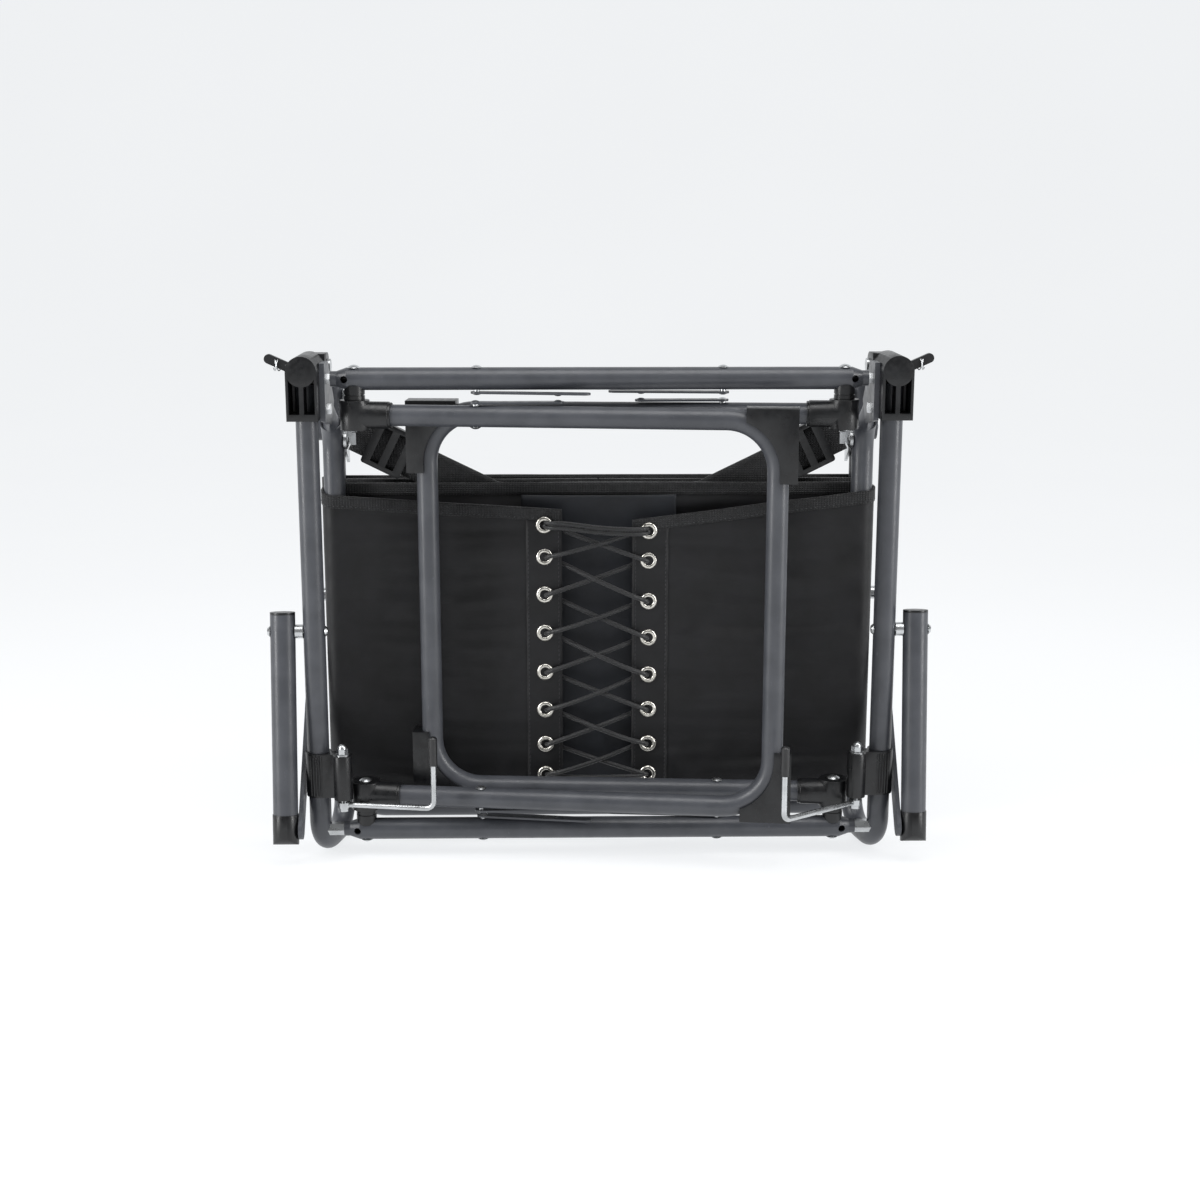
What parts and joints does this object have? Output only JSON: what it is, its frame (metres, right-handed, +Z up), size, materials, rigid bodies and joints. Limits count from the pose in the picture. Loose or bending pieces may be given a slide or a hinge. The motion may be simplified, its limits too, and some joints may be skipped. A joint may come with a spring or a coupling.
{
  "type": "folding cot",
  "caption": "Folding bed frame stood folded on edge: tube frame, two swinging U-shaped legs, laced cloth sling, wire hooks and hinged side struts.",
  "frame": {"origin": "centre of the bounding box at floor level", "axes": "+X across the bed, +Y from the leg side to the folded-back half, +Z up as it stands folded"},
  "size_m": [0.6652, 0.2407, 0.513],
  "materials": {
    "coated_tube": "satin powder coat",
    "black_plastic": "semi-gloss moulded",
    "zinc_steel": "bright zinc plated",
    "black_cloth": "woven",
    "black_webbing": "woven webbing",
    "elastic_cord": "braided elastic cord",
    "nickel": "nickel plated",
    "black_rubber": "dipped sleeve"
  },
  "bodies": {
    "frame": {"side_tube_left": "coated_tube", "side_tube_right": "coated_tube", "hinge_bracket_left": "black_plastic", "hinge_bracket_right": "black_plastic", "cross_tube_top": "coated_tube", "cross_tube_bottom": "coated_tube", "frame_bolts": "zinc_steel", "hinge_pins": "zinc_steel", "pivot_spacers": "black_plastic", "pivot_bolts": "zinc_steel", "brace_rivets": "zinc_steel", "hook_clamp_left": "black_plastic", "hook_clamp_right": "black_plastic", "hook_bolts": "zinc_steel", "sling_panel": "black_cloth", "sling_flaps": "black_cloth", "eyelets": "nickel", "lace": "elastic_cord", "carry_strap": "black_webbing", "strap_buckles": "black_plastic", "strap_lugs": "zinc_steel", "front_strut_pins": "zinc_steel"},
    "rear_leaf": {"rear_frame_tube": "coated_tube", "rear_sling": "black_cloth", "rear_hinge_arm_left": "coated_tube", "rear_hinge_arm_right": "coated_tube", "rear_arm_bolts": "zinc_steel", "rear_gussets": "zinc_steel", "rear_strut_pins": "zinc_steel"},
    "leg_left": {"leg_tube_left": "coated_tube", "leg_fittings_left": "black_plastic", "foot_shoes_left": "black_plastic", "leg_rivets_left": "zinc_steel"},
    "brace_left_top_frame": {"brace_left_top_frame": "coated_tube"},
    "brace_left_top_leg": {"brace_left_top_leg": "coated_tube"},
    "brace_left_bottom_frame": {"brace_left_bottom_frame": "coated_tube"},
    "brace_left_bottom_leg": {"brace_left_bottom_leg": "coated_tube"},
    "hook_left": {"hook_wire_left": "zinc_steel", "hook_sleeve_left": "black_rubber"},
    "strut_upper_left": {"strut_tube_left": "coated_tube", "strut_mouldings_left": "black_plastic"},
    "strut_lower_left": {"strut_link_left": "coated_tube"},
    "lock_pin_left": {"lock_pin_left": "black_plastic"},
    "leg_right": {"leg_tube_right": "coated_tube", "leg_fittings_right": "black_plastic", "foot_shoes_right": "black_plastic", "leg_rivets_right": "zinc_steel"},
    "brace_right_top_frame": {"brace_right_top_frame": "coated_tube"},
    "brace_right_top_leg": {"brace_right_top_leg": "coated_tube"},
    "brace_right_bottom_frame": {"brace_right_bottom_frame": "coated_tube"},
    "brace_right_bottom_leg": {"brace_right_bottom_leg": "coated_tube"},
    "hook_right": {"hook_wire_right": "zinc_steel", "hook_sleeve_right": "black_rubber"},
    "strut_upper_right": {"strut_tube_right": "coated_tube", "strut_mouldings_right": "black_plastic"},
    "strut_lower_right": {"strut_link_right": "coated_tube"},
    "lock_pin_right": {"lock_pin_right": "black_plastic"}
  },
  "joints": [
    {"name": "leg_left_open", "type": "hinge", "parent": "frame", "child": "leg_left", "pos_m": [-0.239, -0.01715, 0.454], "axis": [0, 0, -1], "range_deg": [0, 73]},
    {"name": "leg_right_open", "type": "hinge", "parent": "frame", "child": "leg_right", "pos_m": [0.239, -0.01715, 0.454], "axis": [0, 0, 1], "range_deg": [0, 88]},
    {"name": "brace_left_top_frame_fold", "type": "hinge", "parent": "frame", "child": "brace_left_top_frame", "pos_m": [-0.12, -0.01715, 0.454], "axis": [0, 0, -1], "range_deg": [0, 104.76]},
    {"name": "brace_left_top_leg_fold", "type": "hinge", "parent": "leg_left", "child": "brace_left_top_leg", "pos_m": [-0.12089, -0.03165, 0.454], "axis": [0, 0, 1], "range_deg": [0, 104.76]},
    {"name": "brace_left_bottom_frame_fold", "type": "hinge", "parent": "frame", "child": "brace_left_bottom_frame", "pos_m": [-0.12, -0.01715, 0.454], "axis": [0, 0, -1], "range_deg": [0, 104.76]},
    {"name": "brace_left_bottom_leg_fold", "type": "hinge", "parent": "leg_left", "child": "brace_left_bottom_leg", "pos_m": [-0.12089, -0.03165, 0.454], "axis": [0, 0, 1], "range_deg": [0, 104.76]},
    {"name": "brace_right_top_frame_fold", "type": "hinge", "parent": "frame", "child": "brace_right_top_frame", "pos_m": [0.12, -0.01715, 0.454], "axis": [0, 0, 1], "range_deg": [0, 131.94]},
    {"name": "brace_right_top_leg_fold", "type": "hinge", "parent": "leg_right", "child": "brace_right_top_leg", "pos_m": [0.12029, -0.00885, 0.454], "axis": [0, 0, -1], "range_deg": [0, 131.94]},
    {"name": "brace_right_bottom_frame_fold", "type": "hinge", "parent": "frame", "child": "brace_right_bottom_frame", "pos_m": [0.12, -0.01715, 0.454], "axis": [0, 0, 1], "range_deg": [0, 131.94]},
    {"name": "brace_right_bottom_leg_fold", "type": "hinge", "parent": "leg_right", "child": "brace_right_bottom_leg", "pos_m": [0.12029, -0.00885, 0.454], "axis": [0, 0, -1], "range_deg": [0, 131.94]},
    {"name": "hook_swing_left", "type": "hinge", "parent": "frame", "child": "hook_left", "pos_m": [-0.26, -0.03215, 0.06], "axis": [0, 0, -1], "range_deg": [0, 98]},
    {"name": "hook_swing_right", "type": "hinge", "parent": "frame", "child": "hook_right", "pos_m": [0.26, -0.03215, 0.06], "axis": [0, 0, 1], "range_deg": [0, 98]},
    {"name": "rear_leaf_fold", "type": "hinge", "parent": "frame", "child": "rear_leaf", "pos_m": [0, 0.03485, 0.497], "axis": [1, 0, 0], "range_deg": [0, 90]},
    {"name": "strut_upper_left_fold", "type": "hinge", "parent": "frame", "child": "strut_upper_left", "pos_m": [-0.3175, -0.01715, 0.237], "axis": [1, 0, 0], "range_deg": [0, 131.35]},
    {"name": "strut_lower_left_fold", "type": "hinge", "parent": "rear_leaf", "child": "strut_lower_left", "pos_m": [-0.3, 0.10685, 0.248], "axis": [1, 0, 0], "range_deg": [-85.25, 0]},
    {"name": "strut_upper_right_fold", "type": "hinge", "parent": "frame", "child": "strut_upper_right", "pos_m": [0.3175, -0.01715, 0.237], "axis": [1, 0, 0], "range_deg": [0, 131.35]},
    {"name": "strut_lower_right_fold", "type": "hinge", "parent": "rear_leaf", "child": "strut_lower_right", "pos_m": [0.3, 0.10685, 0.248], "axis": [1, 0, 0], "range_deg": [-85.25, 0]},
    {"name": "lock_pin_left_slide", "type": "slide", "parent": "frame", "child": "lock_pin_left", "axis": [-1, 0, 0], "range_m": [0, 0.008], "stiffness_N_per_m": 200},
    {"name": "lock_pin_right_slide", "type": "slide", "parent": "frame", "child": "lock_pin_right", "axis": [1, 0, 0], "range_m": [0, 0.008], "stiffness_N_per_m": 200}
  ],
  "couplings": [
    {"joint": "leg_right_open", "follows": "leg_left_open", "ratio": 0.1},
    {"joint": "brace_left_top_frame_fold", "follows": "leg_left_open", "ratio": 1.4282},
    {"joint": "brace_left_top_leg_fold", "follows": "leg_left_open", "ratio": 1.4282},
    {"joint": "brace_left_bottom_frame_fold", "follows": "leg_left_open", "ratio": 1.4282},
    {"joint": "brace_left_bottom_leg_fold", "follows": "leg_left_open", "ratio": 1.4282},
    {"joint": "brace_right_top_frame_fold", "follows": "leg_left_open", "ratio": 0.12439},
    {"joint": "brace_right_top_leg_fold", "follows": "leg_left_open", "ratio": 0.12439},
    {"joint": "brace_right_bottom_frame_fold", "follows": "leg_left_open", "ratio": 0.12439},
    {"joint": "brace_right_bottom_leg_fold", "follows": "leg_left_open", "ratio": 0.12439},
    {"joint": "hook_swing_left", "follows": "leg_left_open", "ratio": 1.25},
    {"joint": "hook_swing_right", "follows": "leg_left_open", "ratio": 1.25},
    {"joint": "strut_upper_left_fold", "follows": "rear_leaf_fold", "ratio": 1.4539},
    {"joint": "strut_lower_left_fold", "follows": "rear_leaf_fold", "ratio": -0.94169},
    {"joint": "strut_upper_right_fold", "follows": "rear_leaf_fold", "ratio": 1.4539},
    {"joint": "strut_lower_right_fold", "follows": "rear_leaf_fold", "ratio": -0.94169}
  ]
}
